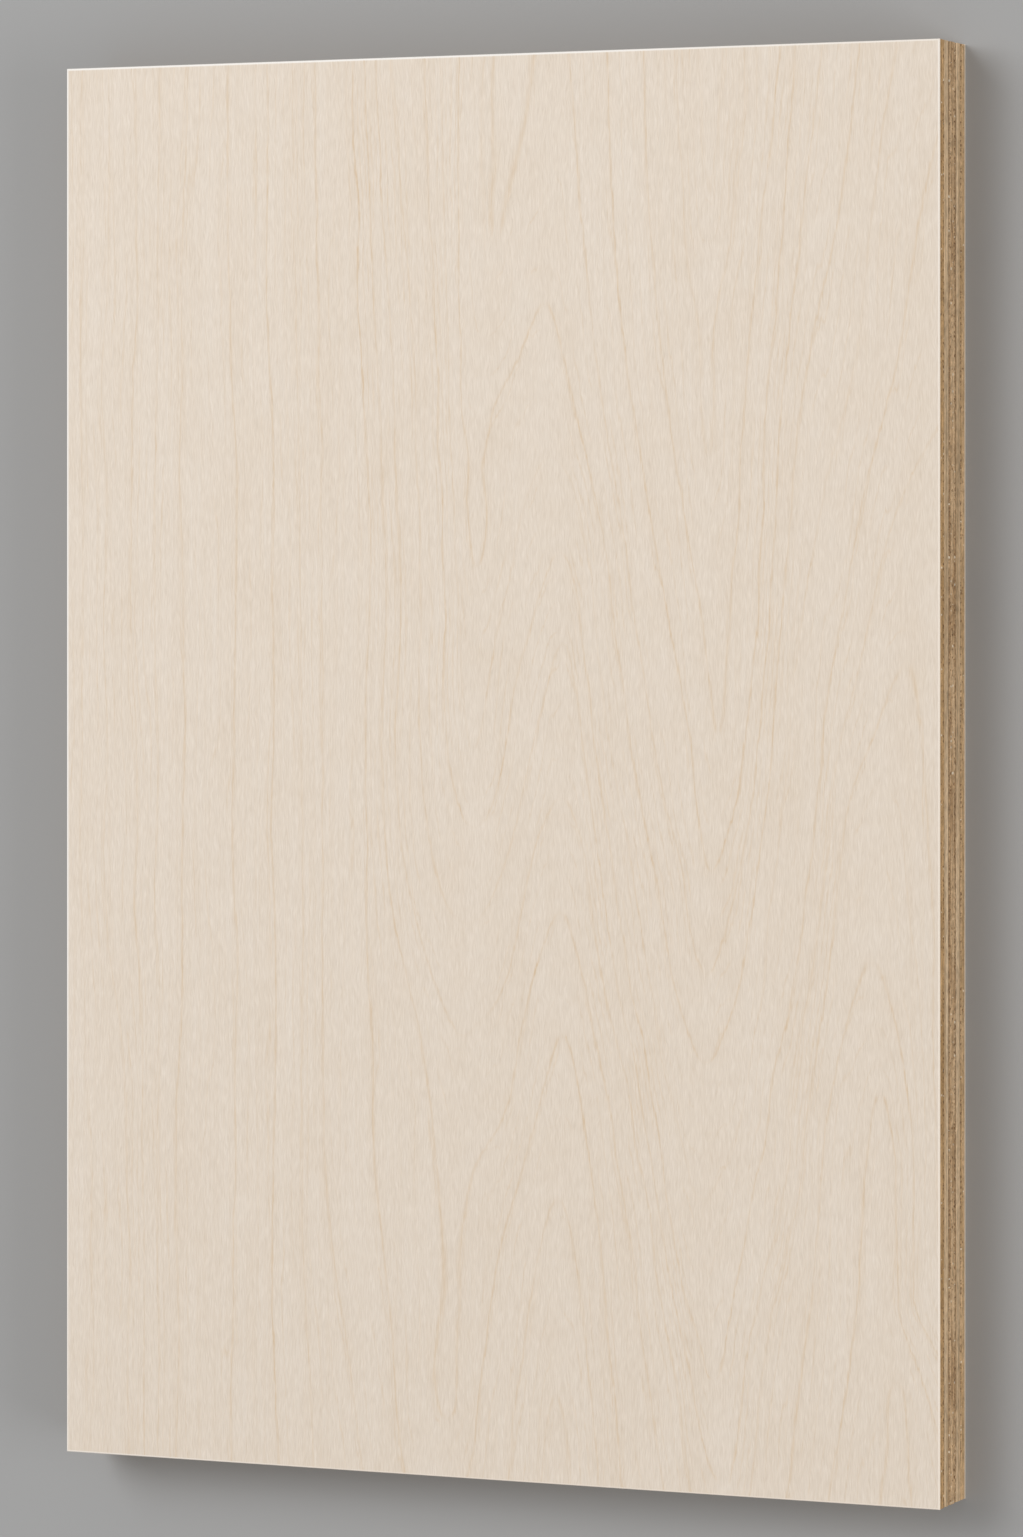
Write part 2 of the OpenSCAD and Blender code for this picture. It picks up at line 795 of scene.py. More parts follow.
    @staticmethod
    def _rim() -> SurfaceGroup:
        """Sawn side and sanded arris of a veneer with a painted highlight on the arris, and painted shade
        that grows towards +X and -Y, away from the key lamp.

        Returns:
            The group.
        """
        names = ("Half Width", "Half Length", "Base", "Thickness", "Bare Up")
        group = SurfaceGroup(
            "veneer_rim",
            {"Point": VECTOR, **dict.fromkeys(names, FLOAT)},
            dict.fromkeys(("Side", "Arris", "Key Shade"), FLOAT),
        )
        g, enter = group.graph, group.enter
        x, y, z = g.split(enter["Point"])
        side_ramp = (0.10, 0.03)
        arris_ramp = (0.42, 0.14)
        bare_ramp = (0.40, 0.80)
        lit_share = 0.65
        room = from_edge(g, x, y, enter)
        group.give("Side", g.ramp(room, *side_ramp))
        rise = (z - enter["Base"]) / enter["Thickness"]
        bare = g.blend(enter["Bare Up"], 1.0 - rise, rise)
        # Painted shade: 0 on the side towards the key lamp, at -X and +Y, and 1 away from it
        key_shade = g.ramp(x / enter["Half Width"] - y / enter["Half Length"], -1.0, 1.0)
        group.give("Key Shade", key_shade)
        # Painted highlight band along the sanded arris, wider on the side towards the key lamp
        sanding_and_highlight = g.ramp(room * (key_shade * (1.0 - lit_share) + lit_share), *arris_ramp)
        group.give("Arris", sanding_and_highlight * g.ramp(bare, *bare_ramp))
        return group


class Finish:
    """Common start of the wood finishes: a Principled surface that reads the piece's own place."""

    GLOSS = 0.35

    @staticmethod
    def begin(name: str) -> tuple[bpy.types.Material, Graph, bpy.types.Node, Term]:
        """Starts a material.

        Args:
            name: the material's name.

        Returns:
            The material, its graph, its Principled shader, and the place in millimetres.
        """
        material = bpy.data.materials.new(name)
        material.use_nodes = True
        graph = Graph(material.node_tree)
        shader = material.node_tree.nodes["Principled BSDF"]
        shader.inputs["Specular IOR Level"].default_value = Finish.GLOSS
        place = Term(graph, graph.node("ShaderNodeTexCoord").outputs["Object"])
        return material, graph, shader, graph.scale(place, 1.0 / MM)

    @staticmethod
    def bump(graph: Graph, shader: bpy.types.Node, height: Term, reach: float) -> None:
        """Feeds a height to the shader's normal, with its full step given in metres.

        Args:
            graph: the material's graph.
            shader: its Principled shader.
            height: the height.
            reach: metres that a height of 1 stands for.
        """
        made = graph.node("ShaderNodeBump")
        made.inputs["Strength"].default_value = 1.0
        made.inputs["Distance"].default_value = reach
        graph.feed(made.inputs["Height"], height)
        graph.feed(shader.inputs["Normal"], Term(graph, made.outputs[0]))

    @staticmethod
    def brighten(graph: Graph, colour: Term, *waves: tuple[Term, float]) -> Term:
        """Multiplies a colour by one plus each wave times its depth.

        Args:
            graph: the material's graph.
            colour: the colour.
            waves: each wave with its depth.

        Returns:
            The changed colour.
        """
        total: Value = 1.0
        for wave, depth in waves:
            total = wave * depth + total
        return graph.tint(1.0, colour, graph.join(total, total, total), "MULTIPLY")


@dataclass(frozen=True)
class VeneerFinish(Finish):
    """Sanded veneer: pale wood that wanders towards tan, with golden growth lines and painted shade
    towards +X and -Y.

    The arris colour is a painted highlight along the sanded arris, partly the sanded wood's own paleness;
    away from the key lamp it fades to the sawn colour, that of the veneer's own edge.
    Colours are linear.
    """

    name: str
    slot: str
    pale: Colour
    tan: Colour
    line: Colour
    sanding_and_highlight: Colour
    sawn: Colour
    glue: Colour
    seed: float
    tone: float = 0.215
    line_depth: float = 0.41
    hair_share: float = 0.6
    glue_share: float = 0.25
    glue_width: float = 0.1
    # How far the arris's painted highlight turns to the sawn colour away from the key lamp
    highlight_fade: float = 0.48
    rough: float = 0.60
    fleck_rough: float = 0.25
    line_rough: float = 0.08
    relief: float = 0.05 * MM

    def material(
        self, groups: Groups, place: Mapping[str, float], half: tuple[float, float]
    ) -> bpy.types.Material:
        """Builds the material.

        Args:
            groups: the shared surface effects.
            place: the veneer's place, by PLACE_NAMES.
            half: half the veneer's width and length, in millimetres.

        Returns:
            The material.
        """
        material, g, shader, point = self.begin(self.name)
        rings = groups.growth.place(g, {
            "Point": point, "Ring": g.attribute(GROWTH), "Strength": g.attribute(LINE_STRENGTH),
            "Pitch": g.attribute(RING_PITCH), "Run": g.attribute(RING_RUN), "Seed": self.seed,
        })
        fibres = groups.fibres.place(g, {
            "Point": point, "Fibre Along Length": Grain.ALONG.value, "Seed": self.seed,
        })
        vessels = groups.vessels.place(g, {"Point": point, "Seed": self.seed})
        glue = groups.glue.place(g, {"Point": point, **place, "Width": self.glue_width})
        rim = groups.rim.place(g, {
            "Point": point, "Half Width": half[0], "Half Length": half[1], "Base": place["Base"],
            "Thickness": place["Thickness"], "Bare Up": float(place["Low Line"] > 0.0),
        })
        streak = fibres["Streak"] * rings["Straight"]
        tone: Value = self.tone
        # The wave that grows towards +X and -Y is painted shade: it turns the wood towards tan away from
        # the key lamp
        for wave, depth in (
            (rings["Vein"], -0.06), (rings["Haze"], 0.05), (rings["Mottle"], 0.17), (streak, -0.22),
            (fibres["Band"], -0.12), (fibres["Thread"], -0.20), (rim["Key Shade"], 0.026),
            (vessels["Slit"], 0.045), (vessels["Proud"], -0.04),
        ):
            tone = wave * depth + tone
        # In the waves above, the Proud strokes turn the wood paler, a painted highlight on fibres that
        # stand proud, and the Slit strokes turn it darker, the cut vessels' own colour and painted shade
        # in them
        ground = g.tint(tone, self.pale, self.tan)
        ground = self.brighten(g, ground, (fibres["Thread"], 0.22), (fibres["Fleck"], 0.03))
        lines = rings["Hair"] * self.hair_share + rings["Line"]
        ground = g.tint(lines * self.line_depth, ground, self.line)
        ground = g.tint(rim["Side"], ground, self.sawn)
        # Painted highlight on the arris, turning towards the sawn colour away from the key lamp
        arris = g.tint(rim["Key Shade"] * self.highlight_fade, self.sanding_and_highlight, self.sawn)
        ground = g.tint(rim["Arris"], ground, arris)
        ground = g.tint(glue["Glue"] * self.glue_share, ground, self.glue)
        g.feed(shader.inputs["Base Color"], ground)
        rough = fibres["Fleck"] * self.fleck_rough + rings["Line"] * self.line_rough
        g.feed(shader.inputs["Roughness"], rough + self.rough)
        self.bump(g, shader, fibres["Fleck"], self.relief)
        return material


@dataclass(frozen=True)
class PlyFinish(Finish):
    """Bare sawn wood of an inner ply. Colours are linear."""

    name: str
    slot: str
    pale: Colour
    dark: Colour
    pore: Colour
    filled: Colour
    glue: Colour
    glue_width: float
    speckle: float
    streak: float
    glue_share: float = 0.7
    filled_share: float = 0.8
    pore_share: float = 0.74
    pore_dip: float = 0.5
    rough: float = 0.72
    fleck_rough: float = 0.2
    relief: float = 0.10 * MM

    def material(self, groups: Groups, ply: "SawnPly") -> bpy.types.Material:
        """Builds the material of one ply.

        Args:
            groups: the shared surface effects.
            ply: the ply, which gives the place, the fibres and the pores.

        Returns:
            The material.
        """
        material, g, shader, point = self.begin(f"{self.name}_{ply.node}")
        place = ply.placed()
        pores = groups.pores.place(g, {"Point": point, **place, **ply.pores.named()})
        glue = groups.glue.place(g, {"Point": point, **place, "Width": self.glue_width})
        fibres = groups.fibres.place(g, {
            "Point": point, "Fibre Along Length": ply.grain.value, "Seed": ply.seed,
        })
        layers = groups.layers.place(g, {
            "Point": point, "Fibre Along Length": ply.grain.value, "Seed": ply.seed,
        })
        ground = g.tint(layers["Layer"], self.pale, self.dark)
        ground = g.tint(glue["Glue"] * self.glue_share, ground, self.glue)
        shown = PoreRule.shown(g.attribute(END_GRAIN))
        opened = pores["Open"] * shown
        filled = pores["Filled"] * shown
        ground = g.tint(filled * self.filled_share, ground, self.filled)
        ground = g.tint(opened * self.pore_share, ground, self.pore)
        ground = self.brighten(
            g, ground, (fibres["Fleck"], 0.36), (fibres["Speckle"], self.speckle),
            (fibres["Streak"], self.streak), (fibres["Band"], 0.12), (layers["Fuzz"], 1.15),
        )
        g.feed(shader.inputs["Base Color"], ground)
        g.feed(shader.inputs["Roughness"], fibres["Fleck"] * self.fleck_rough + self.rough)
        self.bump(g, shader, fibres["Fleck"] - opened * self.pore_dip, self.relief)
        return material


@dataclass(frozen=True)
class GrowthRing:
    """One growth ring where it crosses a veneer.

    The points are in millimetres: from the veneer's left edge, and from the middle of its length.
    """

    number: int
    strength: float
    points: tuple[tuple[float, float], ...]


@dataclass(frozen=True)
class GrowthFigure:
    """The figure of a veneer: a smooth ring count that passes close to the lines of known rings.

    The count is a thin plate over the veneer with its length squeezed. The slack lets the plate
    miss a point a little, and the places are worked through a block at a time.
    """

    rings: tuple[GrowthRing, ...]
    squeeze: float = 0.35
    slack: float = 4.0
    block: int = 8192

    @staticmethod
    def _bend(gap: np.ndarray) -> np.ndarray:
        """Gives the bending of a thin plate for squared distances."""
        never_zero = 1e-9
        return 0.5 * gap * np.log(gap + never_zero)

    def _knots(self) -> tuple[np.ndarray, np.ndarray]:
        """Gives the known points, with their lengths squeezed, and their ring numbers.

        Returns:
            One row of two millimetres for each point, and the number of its ring.
        """
        rows = [(u, v * self.squeeze, ring.number) for ring in self.rings for u, v in ring.points]
        table = np.array(rows, float)
        return table[:, :2], table[:, 2]

    def count(self, u: np.ndarray, v: np.ndarray) -> np.ndarray:
        """Counts the rings at places on the veneer.

        Args:
            u: millimetres from the left edge.
            v: millimetres from the middle of the length.

        Returns:
            The ring count, a whole number on the line of a ring.
        """
        knots, numbers = self._knots()
        size = len(knots)
        flat = np.c_[np.ones(size), knots]
        gaps = ((knots[:, None] - knots[None]) ** 2).sum(2)
        system = np.zeros((size + 3, size + 3))
        system[:size, :size] = self._bend(gaps) + np.eye(size) * self.slack
        system[:size, size:] = flat
        system[size:, :size] = flat.T
        weights = np.linalg.solve(system, np.r_[numbers, 0.0, 0.0, 0.0])
        places = np.c_[u.ravel(), v.ravel() * self.squeeze]
        counted = np.empty(len(places))
        for start in range(0, len(places), self.block):
            part = places[start:start + self.block]
            gaps = ((part[:, None] - knots[None]) ** 2).sum(2)
            bent = self._bend(gaps) @ weights[:size]
            counted[start:start + self.block] = bent + weights[size] + part @ weights[size + 1:]
        return counted.reshape(u.shape)

    def strengths(self, counted: np.ndarray) -> np.ndarray:
        """Gives the strength of the ring lines at ring counts.

        Args:
            counted: the ring counts.

        Returns:
            A strength for each count, blended between neighbouring rings.
        """
        numbers = [ring.number for ring in self.rings]
        values = [ring.strength for ring in self.rings]
        return np.interp(counted, numbers, values)


FACE_FIGURE = GrowthFigure((
    GrowthRing(-10, 0.3, (
        (4, 165), (4.3, 120), (4, 80), (4, 40), (4, 0), (4.3, -40), (5, -80), (6, -120), (6, -165),
    )),
    GrowthRing(-9, 0.5, (
        (11, 160), (11, 130), (9, 90), (9.5, 30), (9.5, -20), (11, -45), (14, -62), (16, -85),
        (17, -120), (16.5, -165),
    )),
    GrowthRing(-8, 0.6, (
        (18.5, 155), (19, 110), (17.3, 70), (17, 40), (18.3, 10), (18.8, -20), (19.5, -50), (20.3, -75),
        (20.5, -110), (20.5, -165),
    )),
    GrowthRing(-7, 0.5, (
        (24.5, 165), (24, 120), (23.5, 70), (23.5, 20), (23, -30), (23.3, -80), (24, -120), (24, -165),
    )),
    GrowthRing(-6, 0.75, (
        (32, 165), (30.2, 115), (29.7, 70), (30.9, 30), (30.8, -10), (30.4, -60), (29, -105),
        (29, -165),
    )),
    GrowthRing(-5, 0.8, (
        (42.5, 165), (43.2, 110), (45, 70), (44.8, 40), (44.2, 0), (45.2, -45), (44.8, -95),
        (44.2, -130), (43.6, -165),
    )),
    GrowthRing(-4, 1.0, (
        (53, 165), (52.6, 110), (54, 85), (54.2, 40), (53.7, -15), (55, -50), (54.5, -90), (54.1, -125),
        (56, -165),
    )),
    GrowthRing(-3, 0.5, (
        (59.5, 165), (60, 137), (60.5, 110), (61, 85), (61.5, 60), (61.8, 35), (62, 10), (62.3, -15),
        (62.4, -40), (62.2, -65), (62.2, -90), (63.2, -130), (65, -165), (123, -165), (126.3, -144),
        (130.5, -165),
    )),
    GrowthRing(-2, 0.7, (
        (65, 165), (65.2, 142), (65.5, 120), (66, 90), (66.5, 60), (66.8, 35), (67, 10), (67, -15),
        (67, -40), (67.2, -65), (67.6, -90), (70, -115), (73.5, -135), (77.7, -165), (115, -164),
        (118.5, -137), (121.5, -117), (124.5, -104), (127, -99), (130, -105), (133, -123),
        (135.5, -145), (137.5, -165), (206, -163), (208.5, -150), (211.5, -137),
    )),
    GrowthRing(-1, 0.9, (
        (75.5, 165), (77, 130), (77.6, 95), (79, 72), (79.9, 55), (79.3, 30), (78.6, 5), (79, -20),
        (80, -60), (80.7, -92), (83.2, -115), (85.5, -135), (88.5, -165), (104, -165), (107, -146),
        (110, -126), (113, -110), (117, -97), (122, -80), (125, -70), (128.5, -61), (131.5, -69),
        (134.5, -87), (137.5, -107), (139.5, -130), (143, -165), (194, -162), (198, -140),
        (200.5, -122), (202, -100), (204, -82), (207.3, -72), (210, -88), (210.5, -110),
    )),
    GrowthRing(0, 0.8, (
        (78, 165), (79.5, 130), (81.2, 95), (82.8, 60), (83, 20), (83, -5), (84.5, -28), (88.5, -47),
        (92, -60), (94.5, -75), (97, -98), (99.8, -125), (101.6, -150), (103, -125), (104, -103),
        (107, -91), (112, -84), (115.8, -75), (117, -65), (120.5, -50), (124, -40), (128, -33),
        (131, -40), (133.5, -48), (136, -60), (138.5, -71), (141.5, -89), (144.5, -105), (147.5, -128),
        (151, -150), (153.5, -165), (184.5, -160), (187, -138), (190, -118), (191.5, -98), (193, -80),
        (196, -65), (200, -51), (205.5, -44), (209, -54), (212, -70), (214, -95), (214, -120),
    )),
    GrowthRing(1, 0.7, (
        (81.3, 155), (82.5, 130), (84, 112), (85.2, 95), (86, 70), (87.4, 48), (87.3, 30), (86, 10),
        (85.8, 0), (87.5, -18), (90, -31), (94, -45), (98, -55), (103, -63), (107, -59), (112, -54),
        (115.5, -46), (118, -33), (121, -20), (126.5, -8), (131, -11), (134, -20), (136.5, -38),
        (139, -51), (142, -63), (145, -73), (148, -92), (150.5, -102), (153, -122), (157, -140),
        (160, -163), (174.5, -163), (177, -140), (180, -122), (184, -105), (187.5, -85), (190.5, -65),
        (193.5, -45), (195.5, -28), (197.5, -12), (203, 5), (208, 18), (212, 25), (214.5, 18), (216, 5),
        (217.5, -15), (219, -40),
    )),
    GrowthRing(2, 0.6, (
        (84.5, 165), (86.5, 145), (88.5, 122), (90.2, 100), (91.2, 72), (92.2, 45), (92, 20), (92.7, 3),
        (95, -18), (99, -32), (106, -36), (112, -27), (116.5, -14), (121, 5), (125, 20), (130, 28),
        (132.5, 15), (134.5, 0), (137.3, -20), (140, -38), (144.5, -60), (148.5, -80), (152, -100),
        (156.5, -122), (160.5, -140), (170, -162), (173, -140), (177, -120), (181.5, -104),
        (184.5, -88), (185.3, -72), (187.5, -56), (190.5, -40), (192.3, -25), (194.5, -5), (196, 5),
        (199, 16), (203, 32), (207, 50), (212, 64),
    )),
    GrowthRing(3, 0.8, (
        (93.5, 165), (94.5, 145), (96, 115), (97.2, 90), (98.3, 62), (99.2, 35), (99, 10), (101.5, -6),
        (106, -14), (110.5, -9), (113.5, 2), (116, 17), (120, 31), (124, 43), (128, 50), (131, 44),
        (133.5, 26), (136, 6), (139, -12), (142, -32), (145.5, -52), (150, -74), (154, -98),
        (158, -119), (164, -138), (170, -122), (175.5, -93), (180, -70), (184, -56), (187, -40),
        (190, -18), (192, 0), (194, 20), (197.5, 38), (200, 52), (205, 74), (210, 92),
    )),
    GrowthRing(4, 0.35, (
        (98, 165), (98.5, 130), (99.7, 95), (101, 60), (102.5, 25), (105, 3), (108.5, 12), (112, 32),
        (117, 54), (121, 66), (126, 72), (131, 65), (134, 53), (137, 28), (140, 6), (144, -13),
        (147.5, -33), (151, -52), (155, -72), (159, -88), (164, -97), (168.5, -90), (173, -77),
        (176, -58), (179, -32), (182, -8), (184.5, 22), (188, 39), (192, 60), (197, 80), (200.5, 95),
        (203, 118), (206, 140), (209, 160),
    )),
    GrowthRing(5, 0.9, (
        (102.3, 165), (101.8, 140), (102, 110), (102.4, 85), (103.8, 62), (105.6, 47), (107, 68),
        (111, 84), (117, 94), (124, 108), (128, 97), (132, 80), (136, 64), (140, 45), (143.5, 20),
        (147, -3), (151, -22), (155, -45), (159, -58), (163.5, -67), (168, -60), (172.5, -47),
        (176, -27), (179.5, -3), (181, 20), (183.7, 50), (186, 77), (189.5, 97), (192.5, 110),
        (196, 125), (199, 145), (201, 163),
    )),
    GrowthRing(6, 0.7, (
        (111, 165), (111.7, 140), (113, 124), (116.5, 139), (119.5, 152), (121, 165), (130, 165),
        (132, 142), (134, 117), (137, 93), (140, 74), (143, 57), (146, 35), (150.5, 8), (154, -9),
        (158.5, -24), (164, -47), (169, -35), (173, -17), (176, 3), (178, 22), (179.6, 42), (181, 65),
        (182.6, 87), (184.5, 105), (187.5, 128), (190, 147), (192.3, 165),
    )),
    GrowthRing(7, 1.0, (
        (139.5, 165), (140, 145), (142, 113), (145, 88), (149, 65), (153, 43), (157, 24), (160.5, 6),
        (162.3, -12), (164.7, -24), (168, -18), (172, -5), (174.5, 15), (177, 35), (178.2, 60),
        (178.8, 85), (181, 103), (182.5, 122), (184, 145), (185.5, 165),
    )),
    GrowthRing(8, 0.8, (
        (148.5, 165), (149.3, 135), (151.5, 110), (154.5, 84), (158, 63), (161.5, 42), (164, 23),
        (166, 8), (168.3, 22), (170, 45), (172, 70), (174.3, 98), (177, 122), (180, 143), (182.3, 165),
    )),
    GrowthRing(9, 0.5, (
        (157, 165), (158.5, 135), (160.5, 110), (162.5, 85), (164.3, 70), (166, 88), (168, 113),
        (170.5, 136), (173, 165),
    )),
    GrowthRing(10, 0.3, (
        (162, 165), (163.5, 140), (165, 128), (166.5, 142), (168.3, 165),
    )),
))


def crown_figure(
    axis: float, tips: Sequence[float], legs: Sequence[tuple[float, float]]
) -> GrowthFigure:
    """Draws a plain crown figure: nested arches on one axis between straight lines.

    Args:
        axis: millimetres from the left edge to the arches' axis.
        tips: heights of the arches, in millimetres from the middle of the length, lowest first.
        legs: how far each leg has fallen at a distance from the axis, both in millimetres.

    Returns:
        The figure.
    """
    strengths = (0.5, 0.9, 0.65, 0.8)
    furthest = 240.0
    rings = []
    for number, tip in enumerate(tips):
        points = [(axis, tip)]
        points += [(axis + reach, tip - fall) for reach, fall in legs if abs(tip - fall) < furthest]
        rings.append(GrowthRing(number, strengths[number % len(strengths)], tuple(points)))
    return GrowthFigure(tuple(rings))


BACK_FIGURE = crown_figure(
    axis=86.0,
    tips=(
        -330, -272, -228, -176, -139, -94, -61, -22, 16, 48, 92, 131, 168, 219, 262, 318, 371, 440,
        512, 590,
    ),
    legs=(
        (-4, 5), (5, 6), (-12, 31), (13, 27), (-24, 92), (27, 77), (-38, 190), (43, 160), (-54, 310),
        (62, 262), (-72, 455), (84, 372), (108, 476), (132, 575),
    ),
)


class Blank:
    """Closed mesh of a ply before it is worked: vertices, and the faces over them."""

    FIRST_INSET = 1.5 * MM
    NEXT_INSET = 12.0 * MM

    def __init__(self) -> None:
        """Starts with no vertices and no faces."""
        self.points: list[np.ndarray] = []
        self.faces: list[Sequence[int]] = []
        self.total = 0

    def add(self, points: np.ndarray) -> np.ndarray:
        """Adds vertices.

        Args:
            points: one row of three metres for each vertex.

        Returns:
            Their indices.
        """
        self.points.append(points)
        self.total += len(points)
        return np.arange(self.total - len(points), self.total)

    def belt(self, low: np.ndarray, high: np.ndarray) -> None:
        """Joins two closed rows of vertices, each counter-clockwise seen from above, by quads."""
        after_low, after_high = np.roll(low, -1), np.roll(high, -1)
        self.faces += np.c_[low, after_low, after_high, high].tolist()

    def strip(self, outer: np.ndarray, inner: np.ndarray, flip: bool) -> None:
        """Joins a fine closed row to a coarser one inside it by triangles.

        Args:
            outer: indices of the fine row, counter-clockwise seen from above.
            inner: indices of the coarse row, which divides the fine one evenly.
            flip: turns the faces down.
        """
        step = len(outer) // len(inner)
        half = step // 2
        start = np.arange(len(inner)) * step
        after = np.roll(inner, -1)
        made = []
        for i in range(step):
            tip = inner if i < half else after
            made.append(np.c_[outer[start + i], outer[(start + i + 1) % len(outer)], tip])
        made.append(np.c_[outer[start + half], after, inner])
        faces = np.concatenate(made)
        self.faces += (faces[:, ::-1] if flip else faces).tolist()

    def cap(
        self, row: np.ndarray, outline: "Outline", height: float, steps: Sequence[int], flip: bool
    ) -> None:
        """Closes a row with ever coarser rows inside it and one face in the middle.

        Args:
            row: indices of the row to close.
            outline: the outline that the row lies on.
            height: the cap's height, in metres.
            steps: how many fine spans each coarser row spans.
            flip: turns the cap down.
        """
        outer = row
        for depth, step in enumerate(steps):
            inset = self.FIRST_INSET + self.NEXT_INSET * depth
            points = outline.row(height, inset)[:: math.prod(steps[: depth + 1])]
            inner = self.add(points)
            self.strip(outer, inner, flip)
            outer = inner
        self.faces.append((outer[::-1] if flip else outer).tolist())

    def mesh(self, name: str) -> bpy.types.Mesh:
        """Makes the Blender mesh.

        Args:
            name: the mesh's name.

        Returns:
            The mesh.
        """
        made = bpy.data.meshes.new(name)
        made.from_pydata(np.concatenate(self.points).tolist(), [], self.faces)
        made.validate()
        return made


@dataclass(frozen=True)
class Outline:
    """The sheet's trimmed outline, divided evenly along each side. Lengths are metres."""

    width: float
    length: float
    across: int
    along: int

    def row(self, height: float, inset: float = 0.0) -> np.ndarray:
        """Gives the outline's points at a height, counter-clockwise seen from above.

        Args:
            height: metres above the floor.
            inset: how far inside the outline, in metres.

        Returns:
            One row of three metres for each point.
        """
        half_w, half_l = self.width / 2.0 - inset, self.length / 2.0 - inset
        x = np.linspace(-half_w, half_w, self.across + 1)[:-1]
        y = np.linspace(-half_l, half_l, self.along + 1)[:-1]
        sides = (
            np.c_[x, np.full_like(x, -half_l)],
            np.c_[np.full_like(y, half_w), y],
            np.c_[-x, np.full_like(x, half_l)],
            np.c_[np.full_like(y, -half_w), -y],
        )
        flat = np.concatenate(sides)
        return np.c_[flat, np.full(len(flat), height)]


class WorkTree:
    """A Geometry Nodes tree with named inputs that works the surface of a blank."""

    def __init__(self, name: str, inputs: Sequence[str]) -> None:
        """Makes the tree with a blank, a finish and named numbers as its inputs.

        Args:
            name: the tree's name.
            inputs: names of the numbers, in millimetres where they are lengths.
        """
        self.tree = bpy.data.node_groups.new(name, "GeometryNodeTree")
        face = self.tree.interface
        face.new_socket("Blank", in_out="INPUT", socket_type="NodeSocketGeometry")
        kinds = {**dict.fromkeys(inputs, FLOAT), "Finish": "NodeSocketMaterial"}
        self.keys = {
            key: face.new_socket(key, in_out="INPUT", socket_type=kind).identifier
            for key, kind in kinds.items()
        }
        face.new_socket("Worked", in_out="OUTPUT", socket_type="NodeSocketGeometry")
        self.graph = Graph(self.tree)
        self.enter = self.graph.terms(self.graph.node("NodeGroupInput").outputs)
        place = Term(self.graph, self.graph.node("GeometryNodeInputPosition").outputs[0])
        self.point = self.graph.scale(place, 1.0 / MM)

    def read(self, name: str) -> Term:
        """Reads a number that the blank carries at each vertex.

        Args:
            name: the attribute's name.

        Returns:
            The number.
        """
        made = self.graph.node("GeometryNodeInputNamedAttribute", data_type="FLOAT")
        made.inputs["Name"].default_value = name
        return Term(self.graph, made.outputs["Attribute"])

    def close(self, offset: Term) -> None:
        """Moves the surface by an offset in millimetres, and ends the tree.

        Args:
            offset: the offset of each vertex.
        """
        g = self.graph
        moved = g.node("GeometryNodeSetPosition")
        real = g.node("GeometryNodeRealizeInstances")
        dressed = g.node("GeometryNodeSetMaterial")
        leave = g.node("NodeGroupOutput")
        g.feed(moved.inputs["Geometry"], self.enter["Blank"])
        g.feed(moved.inputs["Offset"], g.scale(offset, MM))
        g.feed(dressed.inputs["Material"], self.enter["Finish"])
        for before, after in ((moved, real), (real, dressed), (dressed, leave)):
            self.tree.links.new(before.outputs[0], after.inputs[0])

    def work(self, name: str, blank: bpy.types.Mesh, values: Mapping[str, object]) -> bpy.types.Object:
        """Runs the tree on a blank.

        Args:
            name: the finished piece's name.
            blank: the mesh to work.
            values: a value for each named input.

        Returns:
            The finished piece, a plain mesh in its place.
        """
        piece = bpy.data.objects.new(name, blank)
        bpy.context.scene.collection.objects.link(piece)
        modifier = piece.modifiers.new("work", "NODES")
        modifier.node_group = self.tree
        for key, value in values.items():
            modifier[self.keys[key]] = value
        depsgraph = bpy.context.evaluated_depsgraph_get()
        mesh = bpy.data.meshes.new_from_object(
            piece.evaluated_get(depsgraph), preserve_all_data_layers=True, depsgraph=depsgraph
        )
        piece.modifiers.clear()
        piece.data = mesh
        mesh.name = name
        bpy.data.meshes.remove(blank)
        return piece


def sawn_tree() -> WorkTree:
    """Builds the tree that saws the edges of a ply: saw relief, glue grooves and open pores.

    Returns:
        The tree.
    """
    extra = ("Half Width", "Half Length", "Pore Depth", "Saw Relief", "Glue Groove")
    work = WorkTree("sawn_edges", (*PLACE_NAMES, *PoreRule.NAMES, *extra))
    g, enter, point = work.graph, work.enter, work.point
    opened, _ = pore_mask(g, point, enter)
    along, across, height = fibre_axes(g, point, enter["Fibre Along Length"])
    depth, _ = from_glue(g, height, enter)
    tooth_wide = 0.9
    tooth_long = 14.0
    groove_width = 0.16
    tooth = g.join(across / tooth_wide + enter["Seed"], height / tooth_wide, along / tooth_long)
    pores = opened * PoreRule.shown(work.read(END_GRAIN))
    cut = enter["Pore Depth"] * pores
    cut = cut + enter["Saw Relief"] * g.noise(tooth, detail=2.0, rough=0.6)
    cut = cut + enter["Glue Groove"] * g.bell(depth, groove_width)
    x, y, _ = g.split(point)
    pushes = []
    for place, half in ((x, "Half Width"), (y, "Half Length")):
        on_rim = abs(place) > enter[half] - ON_EDGE
        pushes.append(-g.math("SIGN", place) * on_rim * cut)
    work.close(g.join(*pushes))
    return work


